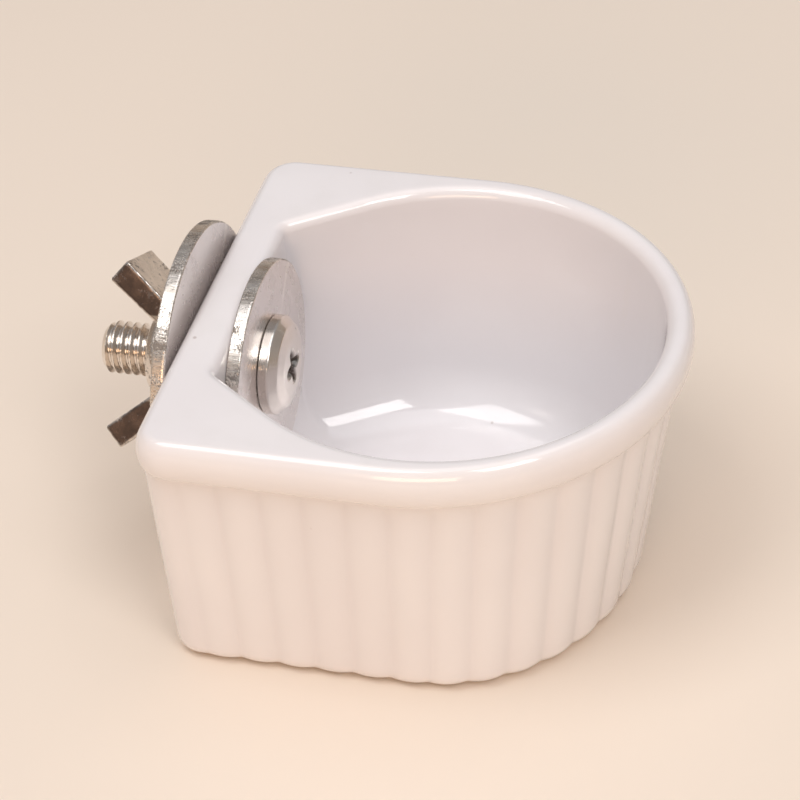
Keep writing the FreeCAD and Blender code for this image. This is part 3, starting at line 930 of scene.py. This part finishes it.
def make_screw():
    brow = HEAD_X + HEAD_SIDE + HEAD_SHOULDER
    profile = rounded_profile([
        (TIP_X, 0, 0), (TIP_X, THREAD_R - TIP_CHAMFER, 0.12 * MM),
        (TIP_X + TIP_CHAMFER, THREAD_R, 0.1 * MM), (HEAD_X, THREAD_R, 0.15 * MM),
        (HEAD_X, HEAD_R, 0.12 * MM), (HEAD_X + HEAD_SIDE, HEAD_R, 0.35 * MM),
        (brow, HEAD_R - HEAD_SHOULDER, 0.45 * MM), (CROWN_X - CROWN_DROP, CROWN_R, 2.0 * MM),
        (CROWN_X, 0, 0),
    ], 0.05 * MM)
    mesh = turned("clamp_screw", profile, 96)
    mesh = grown(mesh, make_thread_tree(), Material=SCREW_PLATE, Start=TIP_X, End=TIP_X + THREADED_LENGTH,
                 Height=AXIS_Z, Major_Radius=THREAD_R, Depth=THREAD_DEPTH, Pitch=THREAD_PITCH,
                 Run_Out=THREAD_RUN_OUT)
    mesh = cut_away(mesh, recess_blade(0), recess_blade(math.pi / 2))
    # Painted shade, deeper down inside the cross recess.
    set_values(mesh, "cut_face", [recess_shade(v.co) for v in mesh.vertices])
    mark_creases(mesh, 38)
    hand_in("clamp_screw", mesh, "mounting_screw", "mounting_screw")


def recess_shade(point):
    """How far down inside the cross recess a point lies, from 0 at its lip to 1: how much painted shade it
    takes.
    """
    out = math.hypot(point.y, point.z - AXIS_Z)
    depth = CROWN_X - CROWN_DROP * (out / CROWN_R) ** 2 - point.x
    if out > RECESS_SPAN * 0.62 or depth > RECESS_DEPTH * 1.1:
        return 0.0
    return min(1.0, max(0.0, (depth - SHADE_START) / SHADE_RUN))


def recess_blade(turn):
    """One tapered blade of the cross recess, with rounded ends."""
    rings = []
    for x, length, width in (
        (CROWN_X - RECESS_DEPTH, RECESS_SPAN / 3, RECESS_ARM * 0.7),
        (CROWN_X - RECESS_DEPTH * 0.5, RECESS_SPAN * 0.7, RECESS_ARM * 0.9),
        (CROWN_X - 0.3 * MM, RECESS_SPAN, RECESS_ARM * 1.1),
        (CROWN_X + 0.3 * MM, RECESS_SPAN * 1.2, RECESS_ARM * 1.9),
    ):
        ring = []
        for side in (1, -1):
            for t in np.linspace(-90, 90, 7):
                a = math.radians(t)
                v = side * (length / 2 - width / 2 + width / 2 * math.cos(a))
                u = side * -width / 2 * math.sin(a)
                ring.append((x, u * math.cos(turn) - v * math.sin(turn),
                             AXIS_Z + u * math.sin(turn) + v * math.cos(turn)))
        rings.append(ring)
    return skin("recess_blade", rings, (rings[0][0][0], 0, AXIS_Z), (rings[-1][0][0], 0, AXIS_Z))


# ---------------------------------------------------------------- washers

def make_washer(name, node, bore_r, body, seed):
    """Blanked washer: one edge rolled over by the punch, the other only lightly rounded."""
    low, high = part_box(node)
    outer_r, centre_z = (high[2] - low[2]) / 2, (high[2] + low[2]) / 2
    x0, x1 = low[0], high[0]
    middle = (x0 + x1) / 2
    corners = [
        (middle, bore_r, 0), (x1, bore_r, 0.12 * MM), (x1, outer_r, 0.28 * MM),
        (x0, outer_r, 0.12 * MM), (x0, bore_r, 0.2 * MM), (middle, bore_r, 0),
    ]
    dense = rounded_profile(corners, 0.1 * MM)[:-1]
    profile = []
    for point in dense:
        on_edge = point.y > outer_r - 0.5 * MM or point.y < bore_r + 0.4 * MM
        if on_edge or not profile or (point - profile[-1]).length > 1.0 * MM:
            profile.append(point)
    mesh = turned(name, profile, 420, centre_z, looped=True)
    mesh = grown(mesh, make_shear_tree(), Material=WASHER_FACE, Rim_Material=SHEARED_RIM, Depth=SHEAR_DEPTH,
                 Rim_Radius=outer_r, Height=centre_z, Seed=seed)
    mark_creases(mesh, 50)
    hand_in(name, mesh, body, node)


# ---------------------------------------------------------------- wing nut

def slab(name, corners, y_low, y_high):
    """A straight-sided block from four (x, z) corners, carried along Y."""
    points = [(x, y_low, z) for x, z in corners] + [(x, y_high, z) for x, z in corners]
    faces = [(0, 1, 2, 3), (7, 6, 5, 4)] + [(i, (i + 1) % 4, (i + 1) % 4 + 4, i + 4) for i in range(4)]
    mesh = bpy.data.meshes.new(name)
    mesh.from_pydata(points, [], faces)
    face_outwards(mesh)
    return mesh


def wing_slab(side):
    """One leaning wing, a little thicker at its square-cut end."""
    lean = np.array((-math.cos(WING_LEAN), math.sin(WING_LEAN)))
    across = np.array((lean[1], -lean[0]))
    tip = np.array((NUT_HIGH[0] - WING_REACH, WING_SPAN / 2)) - across * WING_TIP / 2
    root = tip - lean * (WING_SPAN / 2 - HUB_R / 2) / lean[1]
    corners = [tip + across * WING_TIP / 2, root + across * WING_ROOT / 2,
               root - across * WING_ROOT / 2, tip - across * WING_TIP / 2]
    return slab("wing", [(x, z * side) for x, z in corners], -WING_WIDTH / 2, WING_WIDTH / 2)


def join_wings(base):
    """The hub with both wings joined on, trimmed flat where it seats."""
    hub = turned("wing_nut", rounded_profile([
        (base, 0, 0), (base, HUB_R, 0.3 * MM), (base - HUB_HEIGHT * 0.8, HUB_R * 0.98, 0.5 * MM),
        (base - HUB_HEIGHT, HUB_R * 0.86, 0.4 * MM), (base - HUB_HEIGHT, 0, 0)], 0.5 * MM), 64, 0.0)
    whole = work_object(hub)
    wings = [work_object(wing_slab(side)) for side in (1, -1)]
    reach = 20 * MM
    trimmer = work_object(slab("trimmer", [
        (base, -reach), (base + reach / 2, -reach), (base + reach / 2, reach), (base, reach)], -reach, reach))
    for helper, operation in [(wing, "UNION") for wing in wings] + [(trimmer, "DIFFERENCE")]:
        modifier = whole.modifiers.new("join", "BOOLEAN")
        modifier.operation = operation
        modifier.solver = "EXACT"
        modifier.object = helper
    joined = evaluated_copy(whole, "wing_nut")
    for helper in wings + [trimmer]:
        bpy.data.objects.remove(helper)
    return joined


def softened(mesh):
    """Round every edge a little, at a thousand times size so that the remesh has room to work."""
    scale_points(mesh, 1 / MM)
    block = work_object(mesh)
    remesh = block.modifiers.new("remesh", "REMESH")
    remesh.mode = "VOXEL"
    remesh.voxel_size = REMESH_VOXEL
    remesh.use_smooth_shade = True
    soften = block.modifiers.new("soften", "SMOOTH")
    soften.factor = 0.5
    soften.iterations = 4
    solid = evaluated_copy(block, "wing_nut")
    scale_points(solid, MM)
    return solid


def nut_taps(base):
    """The threaded bore and the countersink at each of its mouths."""
    tap_r = THREAD_R + THREAD_CLEARANCE
    end = base + 1.5 * MM
    start = base - HUB_HEIGHT - 1.5 * MM
    tap = turned("nut_tap", rounded_profile([
        (start, 0, 0), (start, tap_r, 0), (end, tap_r, 0), (end, 0, 0)], 0.05 * MM), 48)
    tap = grown(tap, make_thread_tree(), Material=NUT_PLATE, Start=TIP_X, End=end + 1 * MM,
                Height=AXIS_Z, Major_Radius=tap_r, Depth=THREAD_DEPTH, Pitch=THREAD_PITCH,
                Run_Out=BORE_RUN_OUT)
    taps = [tap]
    for x, way in ((base, -1), (base - HUB_HEIGHT, 1)):
        deep = 0.5 * MM * way
        taps.append(turned("nut_mouth", [Vector(p) for p in (
            (x - deep, 0), (x - deep, tap_r + NUT_MOUTH_FLARE), (x + deep, tap_r - 0.1 * MM),
            (x + deep, 0))], 48))
    return taps


def wing_side_shade_share(vertex):
    """How much painted shade a point takes on the narrow sides of a wing, from 0 to 1."""
    if abs(vertex.co.z) <= HUB_R * 0.95:
        return 0.0
    return min(1.0, max(0.0, (abs(vertex.normal.y) - 0.75) * 6))


def make_nut():
    base = NUT_HIGH[0]
    solid = softened(join_wings(base))
    # Painted shade on the narrow sides of the wings.
    set_values(solid, "cut_face", [wing_side_shade_share(vertex) for vertex in solid.vertices])
    turn_about_x(solid, -WING_TURN)
    keep_inside(solid, NUT_LOW, NUT_HIGH)
    solid = cut_away(solid, *nut_taps(base))
    solid.materials.clear()
    solid.materials.append(NUT_PLATE)
    mark_creases(solid, 35)
    hand_in("wing_nut_metal", solid, "wing_nut", "wing_nut")


def point_array(mesh):
    points = np.empty(len(mesh.vertices) * 3, dtype=np.float64)
    mesh.vertices.foreach_get("co", points)
    return points.reshape(-1, 3)


def put_points(mesh, points):
    mesh.vertices.foreach_set("co", points.astype(np.float32).ravel())
    mesh.update()


def scale_points(mesh, factor):
    put_points(mesh, point_array(mesh) * factor)


def turn_about_x(mesh, angle):
    """Turn about the axis through the origin, then lift to the screw's height."""
    points = point_array(mesh)
    y = points[:, 1] * math.cos(angle) - points[:, 2] * math.sin(angle)
    z = points[:, 1] * math.sin(angle) + points[:, 2] * math.cos(angle)
    put_points(mesh, np.column_stack((points[:, 0], y, z + AXIS_Z)))


def keep_inside(mesh, low, high):
    put_points(mesh, np.clip(point_array(mesh), np.array(low), np.array(high)))


# ---------------------------------------------------------------- stage, lights and camera

FLOOR_REACH = 1.2
CAMERA_TARGET = Vector((-7.8 * MM, 7.0 * MM, 15.0 * MM))
CAMERA_DISTANCE = 0.338
CAMERA_AZIMUTH, CAMERA_ELEVATION, CAMERA_ROLL = 17.94, 39.2, -5.06
LENS = 135.7


def way_to(azimuth, elevation):
    """The direction of an azimuth and elevation in degrees; azimuth 0 looks from the side at -Y."""
    a, e = math.radians(azimuth), math.radians(elevation)
    return Vector((math.sin(a) * math.cos(e), -math.cos(a) * math.cos(e), math.sin(e)))


def make_floor():
    material, tree, shader, place = new_material("pale_floor", (0.9, 0.85, 0.8))
    tone = put_group(tree, FINE_GRAIN, Vector=place, Scale=60.0)
    colour = blend_colours(tree, tone["Tone"], (0.86, 0.75, 0.64), (0.89, 0.78, 0.67))
    tree.links.new(colour, shader.inputs["Base Color"])
    shader.inputs["Roughness"].default_value = 0.75
    mesh = bpy.data.meshes.new("floor")
    corners = [(x * FLOOR_REACH, y * FLOOR_REACH, 0) for x, y in ((-1, -1), (1, -1), (1, 1), (-1, 1))]
    mesh.from_pydata(corners, [], [(0, 1, 2, 3)])
    mesh.materials.append(material)
    floor = bpy.data.objects.new("floor", mesh)
    bpy.context.scene.collection.objects.link(floor)


def make_softbox(name, azimuth, elevation, distance, width, height, power, colour):
    """An area light that looks at the cup from an azimuth and elevation in degrees."""
    aim = Vector((0, 0, CUP_HEIGHT / 2))
    way = way_to(azimuth, elevation)
    lamp = bpy.data.lights.new(name, "AREA")
    lamp.shape = "RECTANGLE"
    lamp.size, lamp.size_y = width, height
    lamp.energy = power
    lamp.color = colour
    obj = bpy.data.objects.new(name, lamp)
    obj.location = aim + way * distance
    obj.rotation_euler = (-way).to_track_quat("-Z", "Y").to_euler()
    bpy.context.scene.collection.objects.link(obj)


def make_camera():
    back = way_to(CAMERA_AZIMUTH, CAMERA_ELEVATION)
    data = bpy.data.cameras.new("camera")
    data.lens = LENS
    data.sensor_width = 36.0
    data.clip_start, data.clip_end = 0.01, 10.0
    camera = bpy.data.objects.new("camera", data)
    camera.location = CAMERA_TARGET + back * CAMERA_DISTANCE
    camera.rotation_mode = "QUATERNION"
    tilt = Quaternion((0, 0, 1), math.radians(CAMERA_ROLL))
    camera.rotation_quaternion = (-back).to_track_quat("-Z", "Y") @ tilt
    bpy.context.scene.collection.objects.link(camera)
    bpy.context.scene.camera = camera


def light_the_scene():
    """A warm low sky, four softboxes and a plain view transform."""
    world = bpy.data.worlds.new("studio")
    world.use_nodes = True
    sky = world.node_tree
    height = add_node(sky, "ShaderNodeSeparateXYZ")
    sky.links.new(add_node(sky, "ShaderNodeTexCoord").outputs["Generated"], height.inputs[0])
    rise = remap(sky, height.outputs["Z"], 0.0, 0.75)
    colour = blend_colours(sky, rise, (1.0, 0.78, 0.60), (0.97, 0.97, 1.0))
    sky.links.new(colour, sky.nodes["Background"].inputs["Color"])
    sky.nodes["Background"].inputs["Strength"].default_value = 0.33
    bpy.context.scene.world = world
    # Name, azimuth, elevation, distance, width, height, watts and colour
    make_softbox("key_softbox", -48, 66, 0.9, 0.42, 0.42, 2.1, (1.0, 0.99, 0.99))
    make_softbox("overhead_softbox", 100, 84, 1.0, 0.75, 0.75, 2.4, (0.99, 0.98, 1.0))
    make_softbox("right_window", 43, 52, 0.9, 0.28, 0.34, 1.9, (1.0, 0.98, 0.97))
    make_softbox("front_fill", 2, 20, 1.1, 0.6, 0.3, 2.6, (1.0, 0.66, 0.42))
    bpy.context.scene.view_settings.view_transform = "Standard"


make_cup()
make_screw()
make_washer("inner_washer_metal", "inner_washer", INNER_BORE_R, "inner_washer", 1.0)
make_washer("outer_washer_metal", "outer_washer", OUTER_BORE_R, "outer_washer", 7.0)
make_nut()
make_floor()
light_the_scene()
make_camera()
